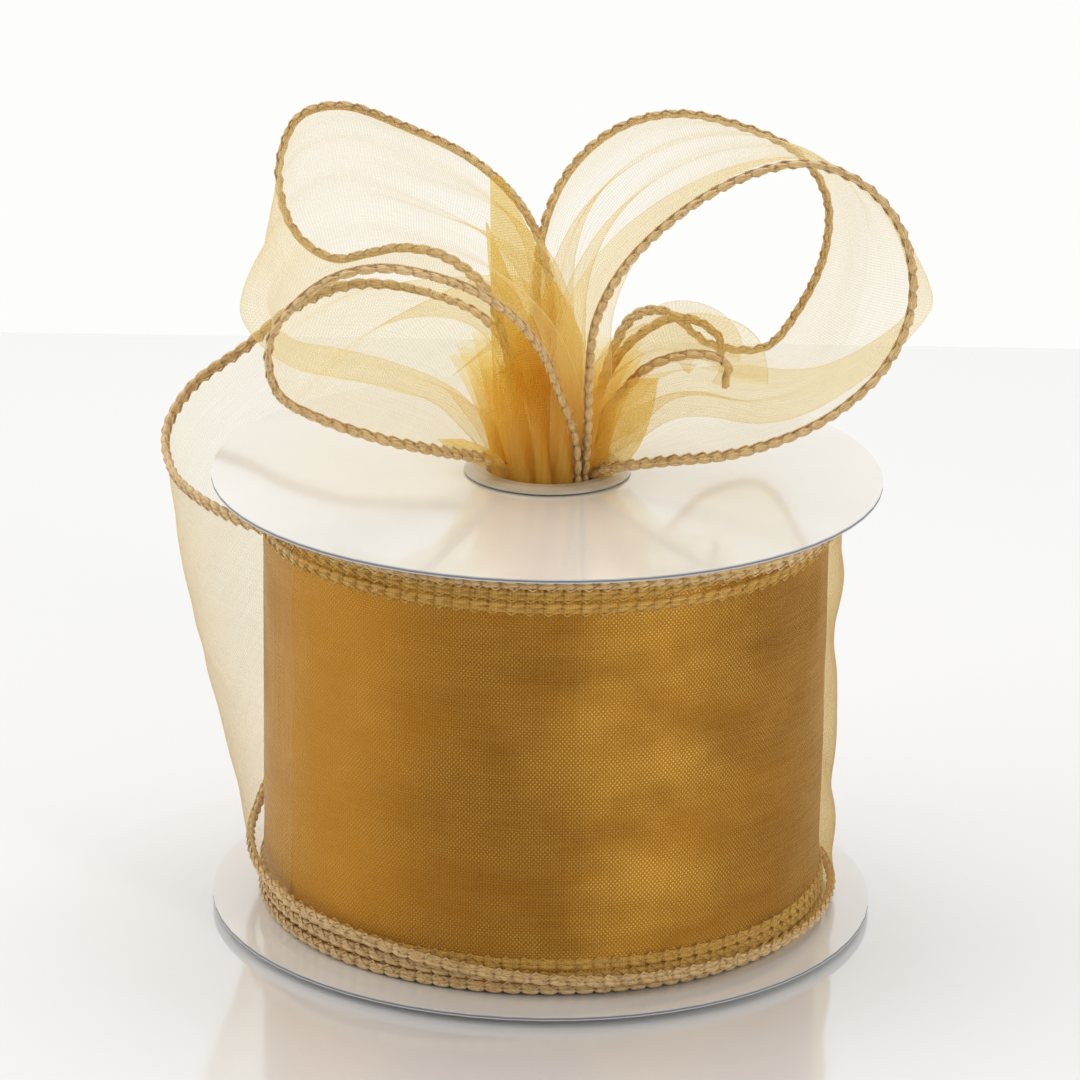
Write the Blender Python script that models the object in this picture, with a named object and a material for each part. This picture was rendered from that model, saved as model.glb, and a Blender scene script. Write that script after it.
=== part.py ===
"""Ribbon spool: a paperboard spool of wide wire-edged organza ribbon, with the ribbon's free
end looped into a bow whose gathered stem is pushed into the spool's core.

Metres, +Z up. The spool's axis is the Z axis, and Z = 0 is the plane that the core tube's
lower rolled rim stands on. The bow's loops open towards -Y, and the free ribbon leaves the
roll on the -X side.
"""

import math

import bmesh
import bpy
from mathutils import Vector

MM = 0.001
GAP = 0.3 * MM

# Spool
FLANGE_RADIUS = 50.8 * MM
BOARD = 0.6 * MM
INNER_WIDTH = 67.2 * MM
BORE_RADIUS = 9.0 * MM
TUBE_WALL = 0.8 * MM
RIM_RADIUS = 12.65 * MM
RIM_HEIGHT = 1.0 * MM
RIM_ROUND = 0.35 * MM

BOTTOM_BOARD_Z = RIM_HEIGHT
BOTTOM_FACE_Z = BOTTOM_BOARD_Z + BOARD
TOP_BOARD_Z = BOTTOM_FACE_Z + INNER_WIDTH
TOP_FACE_Z = TOP_BOARD_Z + BOARD
TUBE_RADIUS = BORE_RADIUS + TUBE_WALL

# Ribbon
EDGE_DIAMETER = 1.5 * MM
SHEER_THICKNESS = 0.5 * MM
EDGE_BAND = 1.9 * MM

# Wound roll
ROLL_INNER_RADIUS = TUBE_RADIUS + 1.0 * MM
ROLL_RADIUS = 43.2 * MM
ROLL_BOTTOM_Z = BOTTOM_FACE_Z + GAP
ROLL_TOP_Z = 66.3 * MM
TAPE_HEIGHT = 40.0 * MM
TAPE_ARC = math.radians(70)
TAPE_THICKNESS = 0.25 * MM
TAPE_STEPS = 8

# Outermost turn, which runs round the roll to where the free ribbon leaves it
TURN_RADIUS = 44.6 * MM
LEAVE_ANGLE = math.radians(213)
TURN_ARC = math.radians(295)
TURN_TOP_Z = 66.0 * MM
TURN_BOTTOM_Z = 4.0 * MM
# Both edges ease to the free ribbon's heights over the first part of the turn
TURN_TOP_LIFT = -0.6 * MM
TURN_BOTTOM_LIFT = 4.1 * MM
LIFT_ARC = math.radians(90)
LEAVE_GAP = math.radians(1)

# Gathered stem of the bow: (radius, height) up its side, in millimetres
STEM_SIDE_MM = ((5.4, 43), (6.0, 45), (6.0, 70.5), (6.2, 74), (6.4, 80), (5.6, 82.4))

# Wired edges of the loops and of the free ribbon: points along each, in millimetres
LEFT_FRONT_MM = (
    (2, -12, 84), (0, -14, 89), (-3, -20, 97), (-8, -25, 103), (-15, -28.5, 107.5), (-25, -31, 109.5),
    (-33, -32, 107), (-39, -32, 101), (-40.5, -32, 96.5), (-39, -32, 91), (-34, -30, 87), (-26, -25, 82.5),
    (-18, -18, 78.5), (-12.5, -12, 75.5), (-11.5, -8.5, 73),
)
LEFT_BACK_MM = (
    (-3, 11, 84), (-3, 14, 91), (-3.5, 19, 99), (-6, 24, 106), (-13, 28, 112), (-23, 31, 116),
    (-32, 31, 118.5), (-39, 31, 116), (-42.5, 31, 109), (-41.5, 31, 102), (-38.5, 31, 96.5),
    (-33.5, 31, 93.6), (-28, 31, 94.6), (-22.7, 30, 95.8), (-16, 26.5, 95), (-11, 20.5, 91),
    (-10.5, 14, 83), (-11, 9, 75),
)
RIGHT_FRONT_MM = (
    (6.5, -11, 84), (6.5, -15, 91), (8, -20, 101), (12, -25, 111), (20, -29, 119), (29, -31, 124.5),
    (37, -32, 126), (45, -32, 122.5), (50, -32, 116.5), (52, -32, 109), (51, -32, 101.5), (46.5, -32, 94),
    (39, -29, 86.5), (28, -22, 79.5), (18, -14, 75.5), (12, -9, 73.3),
)
RIGHT_BACK_MM = (
    (2.5, 12, 84), (1.5, 16, 93), (0.5, 21, 103), (3, 26, 110.5), (10, 29, 116), (20, 30, 118),
    (30, 30, 116), (38, 30, 112.5), (43, 30, 105), (42.5, 30, 96), (39, 30, 87.5), (33, 30, 81.5),
    (25, 28, 82.5), (18, 25, 86.5), (13, 19.5, 87.5), (11.5, 14, 82), (12, 9, 76),
)
END_FRONT_MM = ((11, 1, 83), (14, 0, 86), (19, -1, 88.5), (24, -1.5, 89), (27, -1.5, 87), (26.5, -1, 83.5))
END_BACK_MM = ((11, 9, 87), (14, 12, 89), (18, 14, 90), (23, 14, 89.5), (26, 13, 87), (26, 12, 84.5))
RUN_UPPER_MM = (
    (-37.4, -24.3, 65.3), (-44, -18.5, 65.6), (-49, -11, 65.6), (-53, -4, 65.4), (-56.5, 4, 65.6),
    (-58.4, 13, 68), (-57.4, 20, 71), (-53.5, 26, 75), (-47, 31, 79), (-40, 35, 84),
    (-33, 37.5, 87.4), (-26, 37.8, 88.4), (-18, 35, 88.2), (-11.5, 30, 87.2), (-8, 24, 84),
)
RUN_LOWER_MM = (
    (-37.4, -24.3, 8.1), (-43, -12.5, 9.2), (-45, 0, 9.4), (-44.3, 12.5, 10), (-42, 24, 12.5),
    (-38, 34, 17), (-32.5, 41.5, 25), (-26, 46.5, 36), (-19.5, 49.5, 48), (-13.5, 51.2, 60),
    (-9.5, 51.7, 69), (-6, 48, 76), (-3, 41, 79), (-1.5, 33, 79), (-1, 25, 76),
)
# How far the sheer stands outside its two edges: along the whole strip, where the free ribbon
# drapes over the upper flange's edge, and at a loop's far end
LOOP_BULGE = 1.5 * MM
RUN_BULGE = 1.0 * MM
RUN_DRAPE = 4.5 * MM
LEFT_CORNER = 4.0 * MM
RIGHT_CORNER = 9.2 * MM
CORNER_AT = 0.6
CORNER_REACH = 0.35

BOARD_WHITE = (0.86, 0.85, 0.82)
CORE_GREY = (0.72, 0.70, 0.66)
ORGANZA_GOLD = (0.55, 0.33, 0.07)
SHEER_GOLD = (0.80, 0.62, 0.28)
EDGE_TAN = (0.58, 0.40, 0.20)
TAPE_CLEAR = (0.85, 0.82, 0.70)


def clear_scene():
    for obj in list(bpy.data.objects):
        bpy.data.objects.remove(obj, do_unlink=True)


def material(name, colour, roughness, sheen=0.0):
    made = bpy.data.materials.new(name)
    made.use_nodes = True
    shader = made.node_tree.nodes["Principled BSDF"]
    shader.inputs["Base Color"].default_value = (*colour, 1.0)
    shader.inputs["Roughness"].default_value = roughness
    shader.inputs["Metallic"].default_value = 0.0
    shader.inputs["Sheen Weight"].default_value = sheen
    return made


def add_object(name, data, finish, parent=None):
    obj = bpy.data.objects.new(name, data)
    bpy.context.scene.collection.objects.link(obj)
    data.materials.append(finish)
    obj.parent = parent
    return obj


def add_mesh(name, shape, finish, parent=None):
    bmesh.ops.recalc_face_normals(shape, faces=shape.faces)
    mesh = bpy.data.meshes.new(name)
    shape.to_mesh(mesh)
    shape.free()
    mesh.shade_smooth()
    mesh.set_sharp_from_angle(angle=math.radians(40))
    return add_object(name, mesh, finish, parent)


def add_empty(name, parent=None):
    empty = bpy.data.objects.new(name, None)
    bpy.context.scene.collection.objects.link(empty)
    empty.parent = parent
    return empty


def turned(name, outline, segments, finish):
    """A ring-shaped body: the closed outline of (radius, height) points, turned once round Z."""
    shape = bmesh.new()
    corners = [shape.verts.new((radius, 0.0, height)) for radius, height in outline]
    edges = [shape.edges.new((corners[i - 1], corners[i])) for i in range(len(corners))]
    bmesh.ops.spin(
        shape, geom=corners + edges, cent=(0, 0, 0), axis=(0, 0, 1),
        angle=2 * math.pi, steps=segments, use_merge=True,
    )
    add_mesh(name, shape, finish)


def smooth_line(points_mm, steps, fineness=16):
    """A smooth line of evenly spaced points through the given ones (Catmull-Rom), in metres."""
    points = [Vector(p) * MM for p in points_mm]
    points = [2 * points[0] - points[1], *points, 2 * points[-1] - points[-2]]
    fine = []
    for a, b, c, d in zip(points, points[1:], points[2:], points[3:]):
        for i in range(fineness):
            t = i / fineness
            fine.append(
                0.5 * (2 * b + (c - a) * t + (2 * a - 5 * b + 4 * c - d) * t**2
                       + (3 * b - a - 3 * c + d) * t**3)
            )
    fine.append(points[-2])
    travelled = [0.0]
    for a, b in zip(fine, fine[1:]):
        travelled.append(travelled[-1] + (b - a).length)
    even, at = [], 0
    for i in range(steps + 1):
        want = travelled[-1] * i / steps
        while at < len(fine) - 2 and travelled[at + 1] < want:
            at += 1
        share = (want - travelled[at]) / (travelled[at + 1] - travelled[at])
        even.append(fine[at].lerp(fine[at + 1], share))
    return even


def thicken(obj, thickness):
    solid = obj.modifiers.new("thickness", "SOLIDIFY")
    solid.thickness = thickness
    solid.offset = 0.0
    solid.use_even_offset = True


def cord(name, line, finish, parent):
    """A wired edge: a round cord along an open line of points, with closed ends."""
    curve = bpy.data.curves.new(name, "CURVE")
    curve.dimensions = "3D"
    curve.bevel_depth = EDGE_DIAMETER / 2
    curve.bevel_resolution = 1
    curve.use_fill_caps = True
    spline = curve.splines.new("POLY")
    spline.points.add(len(line) - 1)
    for target, point in zip(spline.points, line):
        target.co = (*point, 1.0)
    spline.use_smooth = True
    add_object(name, curve, finish, parent)


def strip(name, line_a, line_b, finish, parent, bulge=0.0, corner=0.0, across=6):
    """The sheer between two wired edges: it stops GAP short of each. It stands off to one side,
    by `bulge` where it is widest and by `corner` more round the place CORNER_AT along it."""
    shape = bmesh.new()
    inset = EDGE_DIAMETER / 2 + GAP
    widest = max((b - a).length for a, b in zip(line_a, line_b))
    steps = len(line_a) - 1
    rows = []
    for i, (a, b) in enumerate(zip(line_a, line_b)):
        span = b - a
        before, after = max(i - 1, 0), min(i + 1, steps)
        along_a = (line_a[after] - line_a[before]).normalized()
        along_b = (line_b[after] - line_b[before]).normalized()
        normal = (along_a + along_b).cross(span).normalized()
        margin_a = inset / along_a.cross(span).length
        margin_b = inset / along_b.cross(span).length
        stand_off = bulge * (span.length / widest) ** 3
        stand_off += corner * ease(1 - abs(i / steps - CORNER_AT) / CORNER_REACH)
        row = []
        for j in range(across + 1):
            share = margin_a + (1 - margin_a - margin_b) * j / across
            height = stand_off * math.sin(math.pi * j / across)
            row.append(shape.verts.new(a + span * share + normal * height))
        rows.append(row)
    for low, high in zip(rows, rows[1:]):
        for j in range(across):
            shape.faces.new((low[j], low[j + 1], high[j + 1], high[j]))
    thicken(add_mesh(name, shape, finish, parent), SHEER_THICKNESS)


def polar(radius, angle, height):
    return Vector((radius * math.cos(angle), radius * math.sin(angle), height))


def ease(share):
    share = min(max(share, 0.0), 1.0)
    return share * share * (3 - 2 * share)


def disc_outline(inner, outer, low, high):
    return [(inner, low), (outer, low), (outer, high), (inner, high)]


def rim_outline(face_z, side):
    """The rolled end of the core tube over one flange, from the bore to the tube's outside.
    side is +1 at the top and -1 at the bottom; the rim's crown is flat."""
    crown = face_z + side * RIM_HEIGHT
    seat = face_z + side * GAP
    return [
        (BORE_RADIUS, face_z),
        (BORE_RADIUS + RIM_ROUND / 2, crown - side * RIM_ROUND),
        (BORE_RADIUS + RIM_ROUND * 2, crown),
        (RIM_RADIUS - RIM_ROUND * 4, crown),
        (RIM_RADIUS - RIM_ROUND, crown - side * RIM_ROUND),
        (RIM_RADIUS, seat),
        (TUBE_RADIUS, seat),
    ]


def make_spool(board, paper):
    top_rim = rim_outline(TOP_FACE_Z, 1)
    bottom_rim = rim_outline(BOTTOM_BOARD_Z, -1)
    turned("core_tube", bottom_rim[::-1] + top_rim, 40, paper)
    hole = TUBE_RADIUS + GAP
    turned("bottom_flange", disc_outline(hole, FLANGE_RADIUS, BOTTOM_BOARD_Z, BOTTOM_FACE_Z), 64, board)
    turned("top_flange", disc_outline(hole, FLANGE_RADIUS, TOP_BOARD_Z, TOP_FACE_Z), 64, board)


def make_starter_tape(tape):
    """The tape that holds the ribbon's first end to the core tube."""
    middle = (BOTTOM_FACE_Z + TOP_BOARD_Z) / 2
    arc = [TAPE_ARC * (i / TAPE_STEPS - 0.5) for i in range(TAPE_STEPS + 1)]
    radius = TUBE_RADIUS + GAP + TAPE_THICKNESS / 2
    shape = bmesh.new()
    low = [shape.verts.new(polar(radius, a, middle - TAPE_HEIGHT / 2)) for a in arc]
    high = [shape.verts.new(polar(radius, a, middle + TAPE_HEIGHT / 2)) for a in arc]
    for i in range(TAPE_STEPS):
        shape.faces.new((low[i], low[i + 1], high[i + 1], high[i]))
    thicken(add_mesh("starter_tape", shape, tape), TAPE_THICKNESS)


def make_roll(organza, edge):
    band_top = ROLL_TOP_Z - EDGE_BAND
    band_bottom = ROLL_BOTTOM_Z + EDGE_BAND
    body = disc_outline(ROLL_INNER_RADIUS, ROLL_RADIUS, band_bottom + GAP, band_top - GAP)
    turned("ribbon_roll", body, 64, organza)
    upper = disc_outline(ROLL_INNER_RADIUS, ROLL_RADIUS, band_top, ROLL_TOP_Z)
    turned("roll_upper_wired_edge", upper, 64, edge)
    lower = disc_outline(ROLL_INNER_RADIUS, ROLL_RADIUS, ROLL_BOTTOM_Z, band_bottom)
    turned("roll_lower_wired_edge", lower, 64, edge)


def turn_line(height, lift, steps=44):
    """One edge of the outermost turn, from where the free ribbon leaves, back round the roll."""
    line = []
    for i in range(steps + 1):
        angle = TURN_ARC * i / steps
        lifted = height + lift * (1 - ease(angle / LIFT_ARC))
        line.append(polar(TURN_RADIUS, LEAVE_ANGLE + LEAVE_GAP + angle, lifted))
    return line


def make_outer_turn(sheer, edge, free_ribbon):
    upper = turn_line(TURN_TOP_Z, TURN_TOP_LIFT)
    lower = turn_line(TURN_BOTTOM_Z, TURN_BOTTOM_LIFT)
    strip("outer_turn", upper, lower, sheer, free_ribbon, across=2)
    cord("outer_turn_upper_edge", upper, edge, free_ribbon)
    cord("outer_turn_lower_edge", lower, edge, free_ribbon)


def make_free_run(sheer, edge, free_ribbon):
    upper = smooth_line(RUN_UPPER_MM, 30)
    lower = smooth_line(RUN_LOWER_MM, 30)
    strip("free_run", upper, lower, sheer, free_ribbon, bulge=RUN_BULGE, corner=RUN_DRAPE)
    cord("free_run_upper_edge", upper, edge, free_ribbon)
    cord("free_run_lower_edge", lower, edge, free_ribbon)


def make_loop(name, front_mm, back_mm, sheer, edge, bow, bulge=0.0, corner=0.0, steps=32):
    front = smooth_line(front_mm, steps)
    back = smooth_line(back_mm, steps)
    strip(name, front, back, sheer, bow, bulge=bulge, corner=corner)
    cord(name + "_front_edge", front, edge, bow)
    cord(name + "_back_edge", back, edge, bow)


def make_stem(organza, bow, segments=24):
    """The gathered ribbon in the core: stacked rings of points, closed at both ends."""
    shape = bmesh.new()
    rings = []
    angles = [2 * math.pi * i / segments for i in range(segments)]
    for radius, height in STEM_SIDE_MM:
        rings.append([shape.verts.new(polar(radius * MM, a, height * MM)) for a in angles])
    for low, high in zip(rings, rings[1:]):
        for i in range(segments):
            shape.faces.new((low[i - 1], low[i], high[i], high[i - 1]))
    shape.faces.new(rings[0])
    shape.faces.new(rings[-1])
    add_mesh("bow_stem", shape, organza, bow)


def main():
    clear_scene()
    board = material("coated_board", BOARD_WHITE, 0.25)
    paper = material("core_paper", CORE_GREY, 0.4)
    tape = material("clear_tape", TAPE_CLEAR, 0.3)
    organza = material("gold_organza_wound", ORGANZA_GOLD, 0.45, sheen=0.3)
    sheer = material("gold_organza_sheer", SHEER_GOLD, 0.5, sheen=0.3)
    edge = material("wired_edge_thread", EDGE_TAN, 0.6)

    free_ribbon = add_empty("free_ribbon_axis")
    bow = add_empty("bow_axis", free_ribbon)

    make_spool(board, paper)
    make_starter_tape(tape)
    make_roll(organza, edge)
    make_outer_turn(sheer, edge, free_ribbon)
    make_free_run(sheer, edge, free_ribbon)
    left = LEFT_FRONT_MM, LEFT_BACK_MM, sheer, edge, bow
    right = RIGHT_FRONT_MM, RIGHT_BACK_MM, sheer, edge, bow
    make_loop("left_loop", *left, bulge=-LOOP_BULGE, corner=-LEFT_CORNER)
    make_loop("right_loop", *right, bulge=LOOP_BULGE, corner=RIGHT_CORNER)
    make_loop("ribbon_end", END_FRONT_MM, END_BACK_MM, sheer, edge, bow, steps=12)
    make_stem(organza, bow)


main()
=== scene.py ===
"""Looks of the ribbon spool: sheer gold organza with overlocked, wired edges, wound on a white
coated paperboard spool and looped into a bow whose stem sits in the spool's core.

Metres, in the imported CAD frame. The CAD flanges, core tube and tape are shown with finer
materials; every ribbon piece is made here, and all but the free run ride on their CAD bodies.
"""

import math

import bmesh
import bpy
import numpy as np
from mathutils import Matrix, Vector


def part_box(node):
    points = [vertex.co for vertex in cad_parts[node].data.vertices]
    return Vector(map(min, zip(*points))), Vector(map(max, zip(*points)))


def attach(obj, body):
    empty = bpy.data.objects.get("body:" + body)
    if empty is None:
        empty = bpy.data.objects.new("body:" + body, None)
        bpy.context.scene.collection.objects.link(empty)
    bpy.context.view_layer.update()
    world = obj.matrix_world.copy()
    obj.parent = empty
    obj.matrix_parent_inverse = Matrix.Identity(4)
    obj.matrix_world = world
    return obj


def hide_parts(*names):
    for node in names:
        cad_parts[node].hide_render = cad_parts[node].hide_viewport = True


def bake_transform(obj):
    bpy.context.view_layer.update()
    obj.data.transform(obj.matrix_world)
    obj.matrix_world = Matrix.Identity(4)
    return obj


MM = 0.001

# Ribbon
RIBBON_WIDTH = 63.5 * MM
STITCH_PITCH = 2.7 * MM
THREAD_PITCH = 0.42 * MM
ROWS_PER_STITCH = 12
GLINT_ALONG = 0.66 * MM
GLINT_ACROSS = 0.76 * MM

# Directions towards which the wound roll's colour is painted brighter: a painted broad highlight and
# painted light on its left side
PAINTED_HIGHLIGHT_SIDE = (0.34, -0.94, 0.0)
PAINTED_LIGHT_SIDE = (-0.80, -0.60, 0.0)

# Overlock stitch: the wrapped wire inside the edge, the chain of links outside it, and the threads
# that cross both faces
WIRE_INSET = 0.34 * MM
WIRE_RADIUS = (0.40 * MM, 0.07 * MM)
LINK_OUTSET = (0.38 * MM, 0.14 * MM)
LINK_RADIUS = (0.17 * MM, 0.36 * MM)
LINK_LIFT = 0.06 * MM
CROSSING_REACH = (1.05 * MM, 0.95 * MM)
CROSSING_LIFT = (0.26 * MM, 0.36 * MM)
CROSSING_RADIUS = 0.17 * MM

# Half the width of the slope between a lengthwise fold's two heights, as a share of the ribbon
FOLD_SLOPE = 0.035
WRINKLE_DEPTH = 0.28 * MM

# Room the sheer keeps from the bore's wall, the rim and the flange's face
ROOM = 0.5 * MM
RIM_ROOM = 1 * MM
# How far above the rim the gathers are still held together, and how fast they may widen up to there
GATHER_HEIGHT = 8 * MM
GATHER_SLOPE = 1.2

# Roll and its outermost turn
ROLL_RADIUS = 43.2 * MM
ROLL_BORE = 10.8 * MM
TURN_RADIUS = 44.3 * MM
LEAVE_ANGLE = math.radians(213)
TURN_ARC = math.radians(295)
TURN_TOP = 66.6 * MM
TURN_BOTTOM = 4.2 * MM

# How far the gathers fan out above the rim before they part into the loops
STEM_FAN = 18 * MM

# The core tube's bore and rolled rim
BORE_RADIUS = 9.0 * MM
RIM_RADIUS = 12.65 * MM

# Camera: what it looks at, from how far and from how high
CAMERA_TARGET = Vector((-0.934, 0.0, 58.343)) * MM
CAMERA_DISTANCE = 846.1 * MM
CAMERA_ELEVATION = math.radians(18.555)
CAMERA_ROLL = math.radians(0.886)
CAMERA_LENS = 185.57

FLOOR_FAR_EDGE = 0.304

# How many layers of sheer light is followed through
SHEER_LAYERS = 48

# The flanges' boards: the middle of the lower one, and how far above it the next one is
BOARD_MIDDLE = 1.3 * MM
BOARD_PITCH = 67.8 * MM

# Points along the wired edges, in millimetres, from the hub out and back to the hub
LEFT_FRONT_MM = (
    (4.2, -5.5, 66), (4.6, -6.8, 71), (4, -9, 78), (1.5, -13, 86), (-1.5, -19, 94.5),
    (-6.5, -24, 101.5), (-13.5, -28, 106.5),
    (-23.5, -31, 109.5), (-32, -32, 107.8), (-38.5, -32, 102), (-40.6, -32, 96.5), (-39, -32, 90.5),
    (-33.5, -30, 86.5), (-25, -25, 82), (-17.5, -19, 78.5), (-12.5, -12, 75.5), (-8.6, -7, 73.2),
    (-5.8, -4.5, 70.5), (-4.5, -3.5, 66),
)
LEFT_BACK_MM = (
    (0, 7, 73.5), (0.5, 12, 85.5), (-0.5, 17, 96.6), (-4.5, 23, 104.6), (-12.5, 28, 110.8), (-23, 31, 115),
    (-32, 31, 118), (-39, 31, 116.2), (-42, 31, 109.3), (-41.5, 31, 102), (-38.5, 31, 96.5),
    (-33.5, 31, 93.6), (-28, 31, 94.6), (-22.7, 30, 95.8), (-16, 27, 95.2), (-9.5, 20.5, 91.5),
    (-6, 13, 83), (-4.5, 8.5, 75.5), (-4, 7, 71),
)
RIGHT_FRONT_MM = (
    (5.2, -4.6, 66), (5.6, -6.2, 71), (6, -9.5, 79), (6, -14, 88.5), (7, -19, 99),
    (11.5, -25, 109.5), (19.5, -29, 118.5),
    (28.5, -31, 124.3), (37, -32, 126.2), (45, -32, 123), (50.3, -32, 116.5), (52.2, -32, 108.5),
    (51, -32, 101), (46.5, -32, 93.5), (38.5, -29, 86), (28, -22, 79.6), (17.5, -14, 75.6),
    (10.5, -9, 73.0), (7.0, -5.5, 71), (5.8, -2.5, 66),
)
RIGHT_BACK_MM = (
    (0, 8, 75.5), (-2, 14, 88), (-1.5, 20, 100.5), (2.5, 25, 109.6), (10, 29, 115.6), (19.5, 30, 117.8),
    (30, 30, 115.6), (38, 30, 111.6), (42.5, 30, 104.6), (42.3, 30, 95.6), (38.5, 30, 86.6),
    (33.5, 30, 80.6), (25, 28, 81.6), (18, 25, 87.6), (12, 19, 87.6), (8, 12, 79.6), (6, 8, 71),
)
END_FRONT_MM = (
    (6, 1, 71), (8, 2, 77), (11.5, 1, 82), (15, 0, 86), (20, -1, 88.2), (24.2, -1.5, 88.4),
    (26.8, -1.5, 86.8), (26.5, -1, 83.5),
)
END_BACK_MM = (
    (5.5, 5, 72), (8, 8.5, 80), (11, 10, 85.5), (15, 12, 88.6), (19, 13.5, 90), (23, 13.5, 89.3),
    (26, 12.5, 87), (26, 12, 84.5),
)
RUN_UPPER_MM = (
    (-37.4, -24.3, 66.5), (-44.5, -18.5, 66.6), (-50, -11, 66.6), (-54, -4, 66.8), (-57, 4, 67.2),
    (-58.8, 13, 69), (-58, 20, 71.5), (-54.5, 26, 75), (-47.5, 31, 79), (-40.5, 35.5, 84),
    (-33, 38, 87), (-26, 38, 87.6), (-18, 35, 86.8), (-10.5, 29, 85), (-5.5, 20, 80.5), (-4, 9, 73),
)
RUN_LOWER_MM = (
    (-37.4, -24.3, 8.1), (-43, -12.5, 9), (-45, 0, 9.4), (-44.3, 12.5, 10), (-42, 24, 12.5),
    (-38, 34, 17), (-32.5, 41.5, 25), (-26, 46.5, 36), (-19.5, 49.5, 48), (-13.5, 51.2, 60),
    (-7.5, 51.9, 68), (-2.5, 48.5, 75.5), (0, 40, 79.5), (0.3, 30, 80.5), (-1.5, 19, 79), (-3.2, 10, 74),
)
# Flat folds of sheer that rise from the core: width's two ends in x, depth y and height z, from the
# bottom up, in millimetres
HUB_FOLDS_MM = (
    ((-7.6, 3.2, -3.5, 67), (-8.1, 2.6, -4, 80), (-8.8, 0.8, 0, 93), (-9.0, -1.6, 5, 102),
     (-9.3, -7.5, 10, 112.5)),
    ((-2.5, 5.0, -5.5, 67), (-2.6, 2.4, -5, 79), (-6.4, -1.8, -3, 91), (-8.9, -5.6, 0, 99),
     (-9.8, -9.6, 2, 107.5)),
    ((-6.0, 5.0, 0, 67), (-7.4, 5.4, 0, 84), (-5.0, 5.2, 0, 90), (-2.3, 3.0, 0, 95), (0.2, 0.8, 0, 99)),
    ((3.5, 6.5, -5, 67), (6.5, 13.0, -7, 74), (9.5, 15.6, -7.5, 80.5), (12.4, 16.5, -8, 86.5)),
    ((-6.5, -3.2, -5.5, 67), (-8.6, -4.8, -7, 71.4), (-11.2, -6.2, -8.5, 73),
     (-13.6, -8.2, -9.6, 75.2), (-16.5, -12.5, -11, 77.5)),
    ((-6.5, 4.5, -5, 67), (-7.6, 4.6, -6, 73), (-7.4, 3.6, -6, 80), (-5.6, 1.2, -5, 86),
     (-3.2, -2.6, -4, 90)),
)


# ---------------------------------------------------------------- geometry helpers


def smooth_line(points_mm, count):
    """count evenly spaced points on a smooth line through the given ones, in metres."""
    p = np.array(points_mm, float) * MM
    p = np.vstack([2 * p[0] - p[1], p, 2 * p[-1] - p[-2]])
    t = np.linspace(0, 1, 24, endpoint=False)[:, None]
    fine = []
    for a, b, c, d in zip(p, p[1:], p[2:], p[3:]):
        bend = (2 * a - 5 * b + 4 * c - d) * t**2 + (3 * b - a - 3 * c + d) * t**3
        fine.append(0.5 * (2 * b + (c - a) * t + bend))
    fine.append(p[-2:-1])
    return resample(np.vstack(fine), count)


def resample(line, count):
    """count points spaced evenly along a line."""
    travelled = np.r_[0, np.cumsum(np.linalg.norm(np.diff(line, axis=0), axis=1))]
    at = np.linspace(0, travelled[-1], count)
    return np.stack([np.interp(at, travelled, line[:, k]) for k in range(3)], axis=1)


def length_of(line):
    return float(np.linalg.norm(np.diff(line, axis=0), axis=1).sum())


def unit(v):
    return v / np.maximum(np.linalg.norm(v, axis=-1, keepdims=True), 1e-12)


def ease(x):
    x = np.clip(x, 0, 1)
    return x * x * (3 - 2 * x)


def blur(values, radius, axis):
    """A soft average along one axis, with the two ends kept."""
    reach = int(3 * radius)
    weights = np.exp(-0.5 * (np.arange(-reach, reach + 1) / radius) ** 2)
    weights /= weights.sum()
    values = np.moveaxis(values, axis, 0)
    first = 2 * values[:1] - values[reach:0:-1]
    last = 2 * values[-1:] - values[-2:-reach - 2:-1]
    padded = np.concatenate([first, values, last])
    out = sum(w * padded[i:i + len(values)] for i, w in enumerate(weights))
    return np.moveaxis(out, 0, axis)


class Shape:
    """Gathers grids of points into one mesh, with UVs in metres."""

    def __init__(self):
        self.points, self.faces, self.uvs, self.count = [], [], [], 0

    def grid(self, points, uv_size, around=False, uv_start=(0.0, 0.0)):
        rows, columns = points.shape[:2]
        index = self.count + np.arange(rows * columns).reshape(rows, columns)
        last = columns if around else columns - 1
        i, j = np.meshgrid(np.arange(rows - 1), np.arange(last), indexing="ij")
        k = (j + 1) % columns
        corners = [index[i, j], index[i, k], index[i + 1, k], index[i + 1, j]]
        self.faces.append(np.stack(corners, -1).reshape(-1, 4))
        u = np.stack([i, i, i + 1, i + 1], -1) / (rows - 1) * uv_size[0] + uv_start[0]
        v = np.stack([j, j + 1, j + 1, j], -1) / last * uv_size[1] + uv_start[1]
        self.uvs.append(np.stack([u, v], -1).reshape(-1, 2))
        self.points.append(points.reshape(-1, 3))
        self.count += rows * columns
        return index

    def cap(self, ring, flip=False):
        """Closes a ring of point indices with a fan round its middle."""
        ring = ring[::-1] if flip else ring
        points = np.concatenate(self.points)
        middle = self.count
        self.points.append(points[ring].mean(axis=0, keepdims=True))
        self.count += 1
        following = np.roll(ring, -1)
        self.faces.append(np.stack([ring, following, np.full(len(ring), middle)], -1))
        self.uvs.append(np.zeros((3 * len(ring), 2)))

    def build(self, name, material):
        mesh = bpy.data.meshes.new(name)
        faces = [list(map(int, face)) for block in self.faces for face in block]
        mesh.from_pydata(np.concatenate(self.points).tolist(), [], faces)
        layer = mesh.uv_layers.new(name="UVMap")
        layer.data.foreach_set("uv", np.concatenate(self.uvs).astype(np.float32).ravel())
        mesh.shade_smooth()
        mesh.materials.append(material)
        obj = bpy.data.objects.new(name, mesh)
        bpy.context.scene.collection.objects.link(obj)
        return obj


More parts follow.
